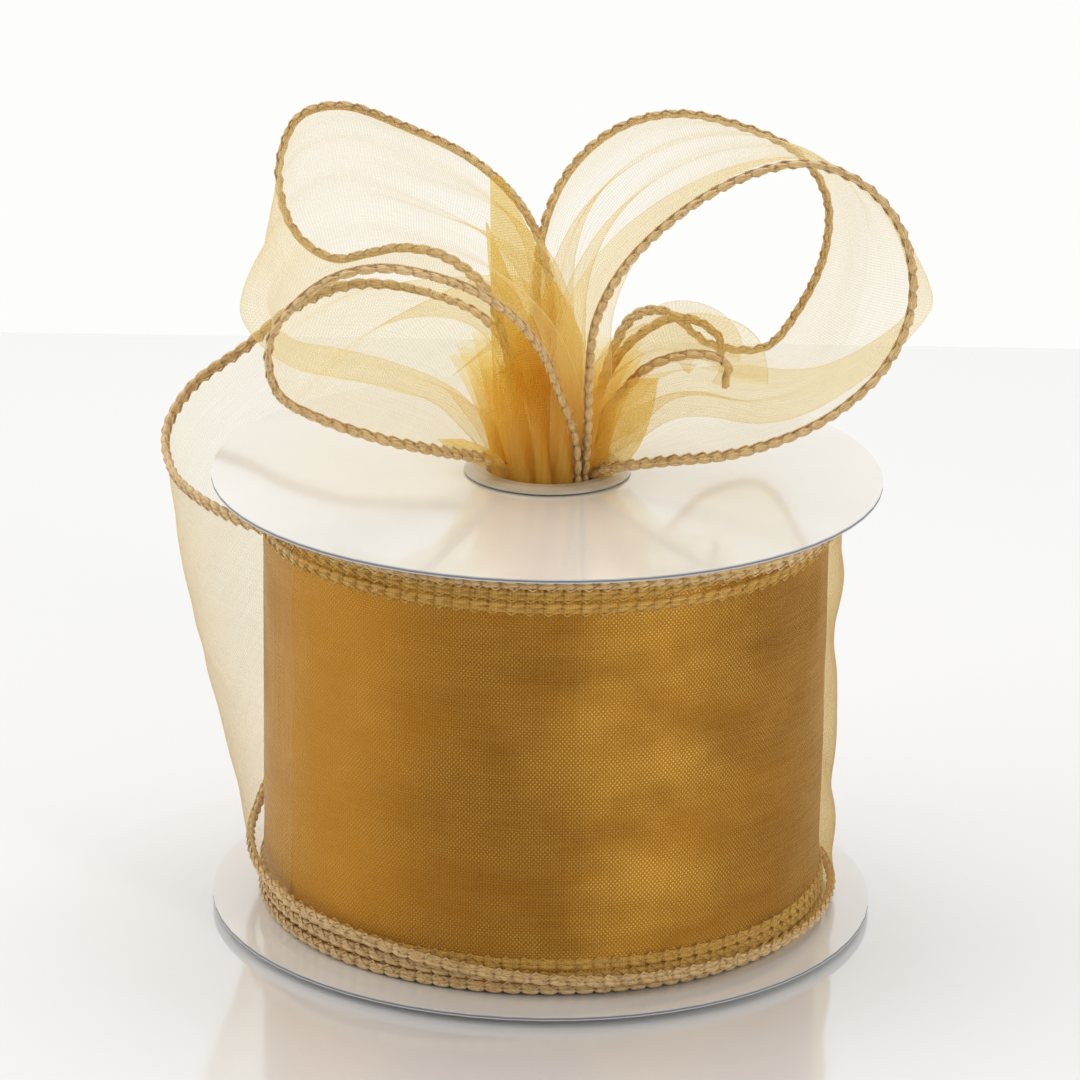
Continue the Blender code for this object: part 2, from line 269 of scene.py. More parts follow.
def tube(shape, line, radius, side_a, side_b, sides=6, capped=True, run=None):
    """A tube along a line; radius is one number or a column of them, and `run` is the length its
    UVs count along it."""
    angle = np.linspace(0, 2 * np.pi, sides, endpoint=False)
    ring = np.cos(angle)[None, :, None] * side_a[:, None] + np.sin(angle)[None, :, None] * side_b[:, None]
    radius = np.broadcast_to(radius, (len(line), 1))[:, None]
    index = shape.grid(line[:, None] + radius * ring, (run or length_of(line), 3 * MM), around=True)
    if capped:
        shape.cap(index[0])
        shape.cap(index[-1], flip=True)


# ---------------------------------------------------------------- materials


class Nodes:
    """A short way to write a node tree."""

    def __init__(self, name):
        self.material = bpy.data.materials.new(name)
        self.material.use_nodes = True
        self.tree = self.material.node_tree
        self.tree.nodes.clear()

    def add(self, kind, inputs=None, **settings):
        node = self.tree.nodes.new("ShaderNode" + kind)
        for name, value in settings.items():
            setattr(node, name, value)
        for key, value in (inputs or {}).items():
            socket = node.inputs[key]
            if isinstance(value, bpy.types.NodeSocket):
                self.tree.links.new(value, socket)
            else:
                socket.default_value = value
        return node

    def math(self, operation, *values):
        return self.add("Math", dict(enumerate(values)), operation=operation).outputs[0]

    def mix(self, factor, a, b, blend="MIX"):
        node = self.add("Mix", {0: factor, 6: a, 7: b}, data_type="RGBA", blend_type=blend)
        return node.outputs[2]

    def noise(self, vector, scale, detail=3.0, roughness=0.5):
        inputs = {"Vector": vector, "Scale": scale, "Detail": detail, "Roughness": roughness}
        return self.add("TexNoise", inputs).outputs["Fac"]

    def ramp(self, value, low, high, to_low=0.0, to_high=1.0):
        inputs = {"Value": value, "From Min": low, "From Max": high, "To Min": to_low, "To Max": to_high}
        return self.add("MapRange", inputs).outputs[0]

    def stretched(self, vector, scale):
        return self.add("Mapping", {"Vector": vector, "Scale": scale}).outputs[0]

    def bump(self, height, strength, distance):
        return self.add("Bump", {"Height": height, "Strength": strength, "Distance": distance}).outputs[0]

    def toward(self, direction, power):
        """How squarely the surface faces a fixed direction, sharpened by a power."""
        normal = self.add("NewGeometry").outputs["Normal"]
        facing = self.add("VectorMath", {0: normal, 1: direction}, operation="DOT_PRODUCT")
        return self.math("POWER", self.math("MAXIMUM", facing.outputs["Value"], 0.0), power)

    def finish(self, shader):
        self.add("OutputMaterial", {"Surface": shader})
        return self.material


def weave(n, uv, pitch):
    """0 in the gaps between threads and 1 on them, for both directions of thread."""
    split = n.add("SeparateXYZ", {0: uv})
    lines = []
    for axis in (0, 1):
        wave = n.math("SINE", n.math("MULTIPLY", split.outputs[axis], 2 * math.pi / pitch))
        lines.append(n.math("MULTIPLY_ADD", wave, 0.5, 0.5))
    return lines


def organza(name, cover=0.13, colour=(0.88, 0.68, 0.28), tint=(0.996, 0.977, 0.91), shine=0.5):
    """One layer of sheer organza: open weave, tinted a little more by each layer behind another."""
    n = Nodes(name)
    uv = n.add("UVMap").outputs[0]
    along, across = weave(n, uv, THREAD_PITCH)
    threads = n.math("MAXIMUM", along, across)
    slub = n.noise(n.stretched(uv, (90, 2600, 1)), 1.0, 2.0)
    cloud = n.noise(n.stretched(uv, (60, 60, 1)), 1.0, 3.0)
    tone = n.mix(n.ramp(cloud, 0.3, 0.7), (*colour, 1), (*(0.85 * c for c in colour), 1))
    tone = n.mix(n.ramp(slub, 0.35, 0.75, 0.0, 0.35), tone, (0.95, 0.80, 0.42, 1))
    relief = n.bump(threads, 0.25, 0.05 * MM)
    face = n.add("BsdfPrincipled", {
        "Base Color": tone, "Roughness": 0.38, "Specular IOR Level": shine, "Normal": relief,
    })
    through = n.add("BsdfTranslucent", {"Color": tone, "Normal": relief})
    cloth = n.add("MixShader", {0: 0.55, 1: face.outputs[0], 2: through.outputs[0]})
    grazing = n.add("LayerWeight", {"Blend": 0.35}).outputs["Facing"]
    density = n.ramp(threads, 0.2, 1.0, 0.25 * cover, 1.4 * cover)
    density = n.math("ADD", density, n.math("MULTIPLY", n.math("POWER", grazing, 2.5), 0.6))
    density = n.math("ADD", density, n.ramp(slub, 0.3, 0.8, -0.04, 0.06))
    density = n.math("MINIMUM", n.math("MAXIMUM", density, 0.03), 0.96)
    clear = n.add("BsdfTransparent", {"Color": (*tint, 1)})
    return n.finish(n.add("MixShader", {0: density, 1: clear.outputs[0], 2: cloth.outputs[0]}).outputs[0])


def wound_organza(name):
    """Many layers of organza: opaque amber, with painted glints of single threads where two layers'
    weaves cross, soft watering between them, and painted light: a broad highlight and a brighter left side."""
    n = Nodes(name)
    uv = n.add("UVMap").outputs[0]
    streak = n.noise(n.stretched(uv, (60, 1500, 1)), 1.0, 4.0, 0.65)
    cloud = n.noise(n.stretched(uv, (20, 55, 1)), 1.0, 5.0, 0.6)
    patch = n.noise(n.stretched(uv, (75, 110, 1)), 1.0, 2.0)
    split = n.add("SeparateXYZ", {0: uv})
    crossing = n.math("MULTIPLY",
                      n.math("SINE", n.math("MULTIPLY", split.outputs[0], 2 * math.pi / GLINT_ALONG)),
                      n.math("SINE", n.math("MULTIPLY", split.outputs[1], 2 * math.pi / GLINT_ACROSS)))
    along, across = weave(n, uv, THREAD_PITCH)
    grid = n.math("MULTIPLY", n.math("ADD", along, across), 0.5)
    # Painted highlight: brighter where the surface faces the painted highlight's side
    painted_highlight = n.toward(PAINTED_HIGHLIGHT_SIDE, 14.0)
    # Painted light on the roll's left side
    soft = n.toward(PAINTED_LIGHT_SIDE, 6.0)
    tone = n.mix(n.ramp(cloud, 0.32, 0.68), (0.165, 0.052, 0.001, 1), (0.32, 0.122, 0.004, 1))
    # Painted light: the roll's left side lighter
    tone = n.mix(n.math("MULTIPLY", soft, 0.75), tone, (0.60, 0.29, 0.035, 1))
    # Painted broad highlight, in patches
    tone = n.mix(n.math("MULTIPLY", painted_highlight, n.ramp(patch, 0.25, 0.75, 0.2, 0.8)), tone, (0.60, 0.33, 0.055, 1))
    tone = n.mix(n.ramp(streak, 0.45, 0.75, 0.0, 0.45), tone, (0.46, 0.21, 0.02, 1))
    tone = n.mix(n.ramp(grid, 0.35, 0.8, 0.0, 0.35), tone, (0.58, 0.30, 0.04, 1))
    # Painted glints where the two weaves cross, stronger within the painted highlight
    painted_glint = n.math("MULTIPLY", n.ramp(crossing, 0.0, 0.8), n.ramp(patch, 0.35, 0.65, 0.25, 1.0))
    painted_glint = n.math("MULTIPLY", painted_glint, n.math("MULTIPLY_ADD", painted_highlight, 0.60, 0.35))
    tone = n.mix(painted_glint, tone, (1.0, 0.74, 0.28, 1))
    height = n.math("ADD", grid, n.math("MULTIPLY", streak, 0.8))
    tangent = n.add("Tangent", direction_type="UV_MAP").outputs[0]
    shader = n.add("BsdfPrincipled", {
        "Base Color": tone, "Metallic": 0.45, "Specular IOR Level": 0.25,
        "Roughness": n.ramp(streak, 0.3, 0.8, 0.5, 0.34),
        "Anisotropic": 0.75, "Anisotropic Rotation": 0.25, "Tangent": tangent,
        "Normal": n.bump(height, 0.5, 0.12 * MM),
    })
    return n.finish(shader.outputs[0])


def gathered_organza(name):
    """Organza bunched in the core: closed and deep amber low down, opening to single sheer layers."""
    n = Nodes(name)
    uv = n.add("UVMap").outputs[0]
    height = n.add("SeparateXYZ", {0: uv}).outputs[0]
    along, across = weave(n, uv, THREAD_PITCH)
    threads = n.math("MAXIMUM", along, across)
    streak = n.noise(n.stretched(uv, (60, 1400, 1)), 1.0, 3.0, 0.6)
    rise = n.ramp(height, 27 * MM, 46 * MM)
    tone = n.mix(rise, (0.98, 0.64, 0.07, 1), (0.96, 0.77, 0.28, 1))
    tone = n.mix(n.ramp(streak, 0.35, 0.7, 0.0, 0.6), tone, (0.98, 0.76, 0.24, 1))
    relief = n.bump(n.math("ADD", threads, streak), 0.4, 0.08 * MM)
    face = n.add("BsdfPrincipled", {"Base Color": tone, "Roughness": 0.4, "Normal": relief})
    through = n.add("BsdfTranslucent", {"Color": tone, "Normal": relief})
    cloth = n.add("MixShader", {0: 0.5, 1: face.outputs[0], 2: through.outputs[0]})
    closed = n.ramp(height, 27 * MM, 42 * MM, 0.92, 0.0)
    density = n.math("MULTIPLY", closed, n.ramp(streak, 0.25, 0.7, 0.7, 1.0))
    clear = n.add("BsdfTransparent", {"Color": (0.99, 0.95, 0.82, 1)})
    return n.finish(n.add("MixShader", {0: density, 1: clear.outputs[0], 2: cloth.outputs[0]}).outputs[0])


def stitch_thread(name):
    """Polyester overlock thread: painted highlights along its filaments, painted shade where they part and
    between the stitches' links.
    """
    n = Nodes(name)
    uv = n.add("UVMap").outputs[0]
    place = n.add("TexCoord").outputs["Object"]
    filament_relief_and_glint = n.noise(n.stretched(uv, (650, 5200, 1)), 1.0, 3.0, 0.6)
    patch = n.noise(place, 180.0, 3.0)
    painted_gap_shade = n.noise(place, 1500.0, 2.0)
    tone = n.mix(n.ramp(patch, 0.3, 0.7), (0.50, 0.285, 0.085, 1), (0.66, 0.42, 0.16, 1))
    # Painted glints along the filaments
    tone = n.mix(n.ramp(filament_relief_and_glint, 0.42, 0.62, 0.0, 0.75), tone, (0.90, 0.68, 0.34, 1))
    # Painted shade in the crevices where the filaments part
    tone = n.mix(n.ramp(painted_gap_shade, 0.58, 0.70, 0.0, 0.65), tone, (0.20, 0.095, 0.02, 1))
    along = n.add("SeparateXYZ", {0: uv}).outputs[0]
    # Painted shade between the stitches' links
    between = n.math("ABSOLUTE", n.math("SINE", n.math("MULTIPLY", along, math.pi / STITCH_PITCH)))
    tone = n.mix(n.ramp(between, 0.0, 0.32, 0.42, 0.0), tone, (0.26, 0.13, 0.03, 1))
    shader = n.add("BsdfPrincipled", {
        "Base Color": tone, "Roughness": 0.38, "Sheen Weight": 0.15, "Specular IOR Level": 0.6,
        "Normal": n.bump(filament_relief_and_glint, 0.8, 0.08 * MM),
    })
    return n.finish(shader.outputs[0])


def coated_board(name):
    """White clay-coated paperboard: glossy faces with faint unevenness, raw grey cut edge."""
    n = Nodes(name)
    place = n.add("TexCoord").outputs["Object"]
    up = n.add("SeparateXYZ", {0: n.add("NewGeometry").outputs["Normal"]}).outputs[2]
    edge = n.ramp(n.math("ABSOLUTE", up), 0.35, 0.7, 1.0, 0.0)
    peel = n.noise(place, 900.0, 2.0)
    cloud = n.noise(place, 45.0, 4.0)
    speck = n.noise(place, 2600.0, 1.0)
    face = n.mix(n.ramp(cloud, 0.35, 0.65), (0.83, 0.82, 0.80, 1), (0.87, 0.86, 0.845, 1))
    face = n.mix(n.ramp(speck, 0.70, 0.78, 0.0, 0.25), face, (0.62, 0.60, 0.56, 1))
    fibre = n.noise(n.stretched(place, (500, 500, 5000)), 1.0, 3.0)
    height = n.add("SeparateXYZ", {0: place}).outputs[2]
    which = n.math("FLOOR", n.math("DIVIDE", height, BOARD_PITCH))
    from_middle = n.math("SUBTRACT", height, n.math("MULTIPLY_ADD", which, BOARD_PITCH, BOARD_MIDDLE))
    core = n.ramp(n.math("ABSOLUTE", from_middle), 0.08 * MM, 0.20 * MM, 1.0, 0.0)
    cut = n.mix(fibre, (0.60, 0.61, 0.63, 1), (0.70, 0.70, 0.70, 1))
    cut = n.mix(n.math("MULTIPLY", core, 0.9), cut, (0.16, 0.17, 0.19, 1))
    shader = n.add("BsdfPrincipled", {
        "Base Color": n.mix(edge, face, cut), "Roughness": n.ramp(edge, 0.0, 1.0, 0.2, 0.75),
        "Coat Weight": n.math("SUBTRACT", 1.0, edge), "Coat Roughness": 0.08,
        "Normal": n.bump(peel, 0.12, 0.03 * MM),
    })
    return n.finish(shader.outputs[0])


def core_paper(name):
    """The core tube's rolled rim: smooth pressed paper, scuffed along its crown."""
    n = Nodes(name)
    place = n.add("TexCoord").outputs["Object"]
    fibre = n.noise(n.stretched(place, (300, 300, 1200)), 1.0, 4.0)
    patch = n.noise(place, 220.0, 3.0)
    tone = n.mix(n.ramp(patch, 0.3, 0.7), (0.46, 0.39, 0.30, 1), (0.57, 0.51, 0.42, 1))
    tone = n.mix(n.ramp(fibre, 0.5, 0.8, 0.0, 0.3), tone, (0.55, 0.52, 0.47, 1))
    shader = n.add("BsdfPrincipled", {
        "Base Color": tone, "Roughness": 0.35, "Coat Weight": 0.4, "Coat Roughness": 0.15,
        "Normal": n.bump(fibre, 0.2, 0.05 * MM),
    })
    return n.finish(shader.outputs[0])


def clear_tape(name):
    """Clear adhesive tape with a slightly hazy back."""
    n = Nodes(name)
    place = n.add("TexCoord").outputs["Object"]
    haze = n.noise(place, 600.0, 3.0)
    tone = n.mix(haze, (0.80, 0.77, 0.62, 1), (0.90, 0.88, 0.78, 1))
    shader = n.add("BsdfPrincipled", {
        "Base Color": tone, "Roughness": n.ramp(haze, 0.2, 0.8, 0.15, 0.4),
        "Normal": n.bump(haze, 0.2, 0.03 * MM),
    })
    return n.finish(shader.outputs[0])


def floor_acrylic(name):
    """A glossy white sheet that mirrors the spool at a low angle."""
    n = Nodes(name)
    place = n.add("TexCoord").outputs["Object"]
    haze = n.noise(place, 6.0, 3.0)
    tone = n.mix(haze, (0.86, 0.86, 0.865, 1), (0.885, 0.885, 0.885, 1))
    shader = n.add("BsdfPrincipled", {
        "Base Color": tone, "Roughness": n.ramp(haze, 0.3, 0.7, 0.07, 0.11),
        "IOR": 2.1, "Specular IOR Level": 1.0,
    })
    return n.finish(shader.outputs[0])


# ---------------------------------------------------------------- wired edges


def stitched_edge(name, line, sheer_side, material):
    """An overlocked edge along `line`. sheer_side points, along it, from the edge into the sheer."""
    length = length_of(line)
    count = max(int(length / STITCH_PITCH * ROWS_PER_STITCH), 24)
    sheer_side = resample_vectors(line, sheer_side, count)
    line = resample(line, count)
    along = unit(np.gradient(line, axis=0))
    side = unit(sheer_side - along * (sheer_side * along).sum(1, keepdims=True))
    shape = Shape()
    overlock(shape, line, side, np.cross(along, side), np.linspace(0, length, count) / STITCH_PITCH)
    return shape.build(name, material)


def overlock(shape, line, side, face, stitches, capped=True):
    """The wrapped wire, the chain of slanting links along its rim, and the threads that cross both
    faces to the needle's line in the sheer. `stitches` counts stitches along the line."""
    share = (stitches % 1)[:, None]
    run = float(stitches[-1]) * STITCH_PITCH
    swell = np.sin(np.pi * share) ** 0.55
    links = line - side * (LINK_OUTSET[0] + LINK_OUTSET[1] * (share - 0.5))
    links = links + face * LINK_LIFT * np.cos(np.pi * share)
    strands = [
        (line + side * WIRE_INSET, WIRE_RADIUS[0] + WIRE_RADIUS[1] * swell, 8),
        (links, LINK_RADIUS[0] + LINK_RADIUS[1] * swell, 9),
    ]
    for sign in (1, -1):
        reach = 2 * np.abs(((stitches[:, None] + 0.25 * sign) % 1) - 0.5)
        over = line + side * (CROSSING_REACH[0] - CROSSING_REACH[1] * reach)
        over = over + face * sign * (CROSSING_LIFT[0] + CROSSING_LIFT[1] * reach)
        strands.append((over, CROSSING_RADIUS, 5))
    for path, radius, sides in strands:
        tube(shape, path, radius, side, face, sides=sides, capped=capped, run=run)


def resample_vectors(line, vectors, count):
    """The vectors given along a line, at count points spaced evenly along it."""
    travelled = np.r_[0, np.cumsum(np.linalg.norm(np.diff(line, axis=0), axis=1))]
    at = np.linspace(0, travelled[-1], count)
    return np.stack([np.interp(at, travelled, vectors[:, k]) for k in range(3)], axis=1)


# ---------------------------------------------------------------- sheer between two edges


def stations(table, share):
    """Smoothly interpolated columns of a table whose first column is the share along the ribbon."""
    table = np.array(table, float)
    return [blur(np.interp(share, table[:, 0], column), 5, 0) for column in table.T[1:]]


def pleat_height(span, width, waves, fullness):
    """How high `waves` sine pleats must be for `width` of ribbon to fit in `span`."""
    phase = np.linspace(0, 2 * np.pi, 60)
    steep = np.linspace(0, 6, 121)
    arc = np.array([np.trapz(np.sqrt(1 + (s * np.cos(phase)) ** 2), phase) / (2 * np.pi) for s in steep])
    wanted = np.clip(1 + (width / span - 1) * fullness, 1, arc[-1])
    return np.interp(wanted, arc, steep) * span / (2 * np.pi * waves)


def sheer(name, front, back, middle, plan, material, seed, rows=220, columns=112, waves=3.5):
    """The sheer between two edges. `plan` gives, at shares along the ribbon: how far it stands
    outside the edges, where across it does so, the height of the inward fold, the depth of the
    outward fold beside it, where across they lie, and how full the pleats are."""
    share = np.linspace(0, 1, rows)
    across = np.linspace(0, 1, columns)
    bulge, bulge_at, inner, outer, fold_at, fullness = stations(plan, share)
    front, back = resample(front, rows), resample(back, rows)
    span = back - front
    size = np.linalg.norm(span, axis=1)
    normal = unit(np.cross(np.gradient(front + back, axis=0), span))
    outside = (front + back) / 2 - np.array(middle) * MM
    normal = unit(blur(normal * np.sign((normal * outside).sum()), 4, 0))
    s = np.empty((rows, columns))
    h = np.empty((rows, columns))
    for i in range(rows):
        knots = np.array([0, fold_at[i] - FOLD_SLOPE, fold_at[i] + FOLD_SLOPE, 1])
        rise = np.array([0, -inner[i], outer[i], 0]) * MM
        path = np.r_[0, np.cumsum(np.hypot(np.diff(knots) * size[i], np.diff(rise)))]
        at = across * path[-1]
        s[i], h[i] = np.interp(at, path, knots), np.interp(at, path, rise)
    s, h = blur(s, 1.2, 1), blur(h, 1.2, 1)
    peak = bulge_at[:, None]
    hump = np.where(s < peak, np.sin(np.pi / 2 * s / peak), np.sin(np.pi / 2 * (1 - s) / (1 - peak)))
    h += bulge[:, None] * MM * np.clip(hump, 0, None)

    random = np.random.default_rng(seed)
    rim = np.sin(np.pi * across)[None] ** 0.5
    height = pleat_height(size, RIBBON_WIDTH, waves, fullness)[:, None]
    drift = blur(random.normal(0, 1, rows), 20, 0)[:, None] * 2.0
    phase = 2 * np.pi * waves * (across[None] + 0.06 * np.sin(2 * np.pi * across * 1.3 + seed)) + drift
    fold = np.arcsin(0.985 * np.sin(phase)) / 1.2 + 0.25 * np.sin(2.3 * phase + seed)
    h += height * fold * rim
    wrinkles = blur(blur(random.normal(0, 1, (rows, columns)), 9, 0), 4, 1)
    wrinkles /= wrinkles.std()
    h += WRINKLE_DEPTH * wrinkles * rim
    points = front[:, None] + span[:, None] * s[..., None] + normal[:, None] * h[..., None]
    keep_clear(points)
    shape = Shape()
    shape.grid(points, (length_of(front), RIBBON_WIDTH))
    obj = shape.build(name, material)
    return obj, length_of((front + back) / 2)


def keep_clear(points):
    """Gathers what is near the core towards its bore, and lifts what is over the flange off it."""
    rim_high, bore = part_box("core_tube")[1][2], BORE_RADIUS - ROOM
    flange_high, flange_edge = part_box("top_flange")[1][2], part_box("top_flange")[1][0]
    across = np.linalg.norm(points[..., :2], axis=-1)
    height = points[..., 2]
    near = across < RIM_RADIUS + RIM_ROOM
    allowed = bore + GATHER_SLOPE * np.clip(height - rim_high, 0, None)
    squeeze = np.where(near, np.minimum(1, allowed / np.maximum(across, 1e-6)), 1)
    squeeze = np.where(height > rim_high + GATHER_HEIGHT, 1, squeeze)
    points[..., :2] *= squeeze[..., None]
    above = ~near & (across < flange_edge) & (height > flange_high - 2 * ROOM)
    points[..., 2] = np.where(above, np.maximum(height, flange_high + ROOM), height)


def corner_cone(obj, tip, radius, height, direction):
    """Draws the sheer out to a point, as where a fold ends."""
    mesh = obj.data
    co = np.empty(len(mesh.vertices) * 3)
    mesh.vertices.foreach_get("co", co)
    co = co.reshape(-1, 3)
    tip = np.array(tip) * MM
    away = np.linalg.norm(co - tip, axis=1) / (radius * MM)
    lift = np.clip(1 - away, 0, 1) ** 1.3
    co += np.array(direction)[None] * (lift * height * MM)[:, None]
    mesh.vertices.foreach_set("co", co.ravel())


# ---------------------------------------------------------------- pieces


def stitched_pair(name, edges, looks):
    """Both stitched edges of one section, each in place of its CAD cord."""
    made = []
    for edge_name, line, sheer_side in edges:
        edge = stitched_edge(f"{name}_{edge_name}_stitching", line, sheer_side, looks["thread"])
        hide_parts(f"{name}_{edge_name}")
        made.append(edge)
    return made


def ribbon_section(name, front_mm, back_mm, middle, plan, looks, seed,
                   names=("front_edge", "back_edge"), **extra):
    """The sheer and the two stitched edges of one section; returns (sheer, edges, length)."""
    front, back = smooth_line(front_mm, 400), smooth_line(back_mm, 400)
    obj, length = sheer(name + "_sheer", front, back, middle, plan, looks["sheer"], seed, **extra)
    into = unit(back - front)
    edges = stitched_pair(name, ((names[0], front, into), (names[1], back, -into)), looks)
    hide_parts(name)
    return obj, edges, length


def make_left_loop(looks):
    """The lower, wider loop, whose back half folds over at a corner on the left."""
    plan = (
        (0.00, 0.0, 0.5, -1.0, -1.0, 0.30, 0.95),
        (0.12, 0.8, 0.6, -1.0, -1.0, 0.30, 0.90),
        (0.24, 1.8, 0.8, 0.0, 0.0, 0.30, 0.50),
        (0.36, 1.0, 0.8, 0.0, 0.0, 0.30, 0.10),
        (0.56, 1.4, 0.4, 0.5, 1.0, 0.32, 0.03),
        (0.66, 0.8, 0.3, 5.0, 2.5, 0.32, 0.04),
        (0.78, 0.0, 0.3, 3.0, 4.5, 0.33, 0.10),
        (0.90, 0.0, 0.4, -0.5, 4.0, 0.38, 0.45),
        (1.00, 0.0, 0.5, 0.0, 1.0, 0.45, 0.95),
    )
    obj, edges, length = ribbon_section("left_loop", LEFT_FRONT_MM, LEFT_BACK_MM, (-22, 0, 98),
                                        plan, looks, 3)
    corner_cone(obj, (-42, -8, 96), 14, 3.2, (-1, 0, 0))
    return obj, edges, length


def make_right_loop(looks):
    """The taller loop, which draws out to a corner on the right."""
    plan = (
        (0.00, 0.0, 0.5, -3.0, -1.0, 0.10, 0.90),
        (0.10, 0.5, 0.5, -4.0, -1.5, 0.07, 0.85),
        (0.20, 0.8, 0.6, -5.0, -1.8, 0.06, 0.45),
        (0.32, 0.8, 0.8, -3.5, -1.5, 0.06, 0.10),
        (0.44, 0.6, 0.5, -0.5, -0.3, 0.10, 0.03),
        (0.54, 0.6, 0.5, 0.0, 0.5, 0.25, 0.03),
        (0.60, 0.8, 0.4, 0.5, 1.5, 0.31, 0.03),
        (0.68, 0.6, 0.3, 4.0, 3.0, 0.31, 0.04),
        (0.78, 0.0, 0.3, 7.5, 2.5, 0.31, 0.12),
        (0.90, 0.0, 0.4, 6.5, 2.5, 0.36, 0.60),
        (1.00, 0.0, 0.5, 1.5, 0.5, 0.45, 0.95),
    )
    obj, edges, length = ribbon_section("right_loop", RIGHT_FRONT_MM, RIGHT_BACK_MM, (26, 0, 101),
                                        plan, looks, 8)
    corner_cone(obj, (52, -12, 99), 19, 7.0, (1, 0, 0))
    return obj, edges, length


def make_ribbon_end(looks):
    """The short hook of ribbon that ends behind the right loop."""
    plan = (
        (0.0, 0.0, 0.5, 0.0, 0.0, 0.5, 0.45),
        (0.4, 0.5, 0.5, 0.0, 0.0, 0.5, 0.45),
        (0.7, 0.5, 0.5, 0.0, 0.0, 0.5, 0.45),
        (1.0, 0.0, 0.5, 0.0, 0.0, 0.5, 0.45),
    )
    return ribbon_section("ribbon_end", END_FRONT_MM, END_BACK_MM, (16, 6, 81), plan, looks, 5,
                          rows=80, columns=72, waves=1.5)


def make_free_run(looks):
    """The free ribbon from the roll round behind to the hub, draped over the flange's edge."""
    plan = (
        (0.00, 0.0, 0.5, 0.0, 0.0, 0.5, 0.0),
        (0.12, 2.0, 0.45, 0.0, 0.0, 0.5, 0.0),
        (0.28, 3.5, 0.45, 0.0, 0.0, 0.5, 0.0),
        (0.50, 3.5, 0.6, 0.0, 0.0, 0.5, 0.0),
        (0.62, 4.5, 0.7, 0.0, 0.0, 0.5, 0.25),
        (0.76, 3.5, 0.7, 0.0, 0.0, 0.5, 0.60),
        (0.86, 1.0, 0.5, 0.0, 0.0, 0.5, 0.95),
        (1.00, 0.0, 0.5, 0.0, 0.0, 0.5, 1.0),
    )
    return ribbon_section("free_run", RUN_UPPER_MM, RUN_LOWER_MM, (0, 0, 50), plan, looks, 11,
                          names=("upper_edge", "lower_edge"), waves=2.5)


def polar(radius, angle, height):
    """Points round the spool's axis."""
    return np.stack([radius * np.cos(angle), radius * np.sin(angle), height + 0 * angle], axis=-1)


def turn_edges(rows):
    """The outer turn's two edges, from where the free ribbon leaves it round to its tucked end."""
    angle = LEAVE_ANGLE + np.linspace(0, TURN_ARC, rows)
    turned = angle - LEAVE_ANGLE
    front = math.radians(270) - LEAVE_ANGLE
    tuck = ease((turned - TURN_ARC + 0.5) / 0.5)
    upper = TURN_TOP - 0.2 * MM * ease(1 - turned / front)
    upper -= 1.7 * MM * np.exp(-(((turned - math.radians(118)) / 0.5) ** 2))
    lower = TURN_BOTTOM + 3.9 * MM * ease(1 - turned / math.radians(75)) + 0.3 * MM * np.sin(turned * 2)
    radius = TURN_RADIUS + 0.3 * MM - 0.7 * MM * tuck
    radius = radius + 0.35 * MM * ease((turned - 1.3) / 0.6) * ease((3.3 - turned) / 0.8)
    return polar(radius, angle, upper), polar(radius, angle, lower), angle


def make_outer_turn(looks, rows=300, columns=70):
    """The loose last turn: against the roll at the front, and rippled and off it at the right."""
    upper, lower, angle = turn_edges(rows)
    across = np.linspace(0, 1, columns)
    points = upper[:, None] * (1 - across)[None, :, None] + lower[:, None] * across[None, :, None]
    turned = (angle - LEAVE_ANGLE)[:, None]
    loose = ease((turned - math.radians(80)) / 0.5) * ease((math.radians(230) - turned) / 0.8)
    random = np.random.default_rng(4)
    ripple = blur(blur(random.normal(0, 1, (rows, columns)), 7, 0), 3.0, 1)
    ripple /= ripple.std()
    swell = np.sin(across[None] * 19 + turned * 1.5) + 0.6 * np.sin(across[None] * 31 - turned * 2)
    rim = np.sin(np.pi * across)[None] ** 0.4
    out = (loose * (0.35 * swell + 0.30 * ripple) + 0.10 * ripple) * rim * MM
    radial = unit(points * np.array([1, 1, 0]))
    floor = ROLL_RADIUS + 0.35 * MM
    points = points + radial * out[..., None]
    radius = np.linalg.norm(points[..., :2], axis=-1)
    points[..., :2] *= (np.maximum(radius, floor) / radius)[..., None]
    shape = Shape()
    shape.grid(points, (length_of(upper), RIBBON_WIDTH))
    obj = shape.build("outer_turn_sheer", looks["turn"])
    down = np.tile([0.0, 0.0, -1.0], (rows, 1))
    edges = stitched_pair("outer_turn", (("upper_edge", upper, down), ("lower_edge", lower, -down)), looks)
    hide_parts("outer_turn")
    return obj, edges, length_of(upper)


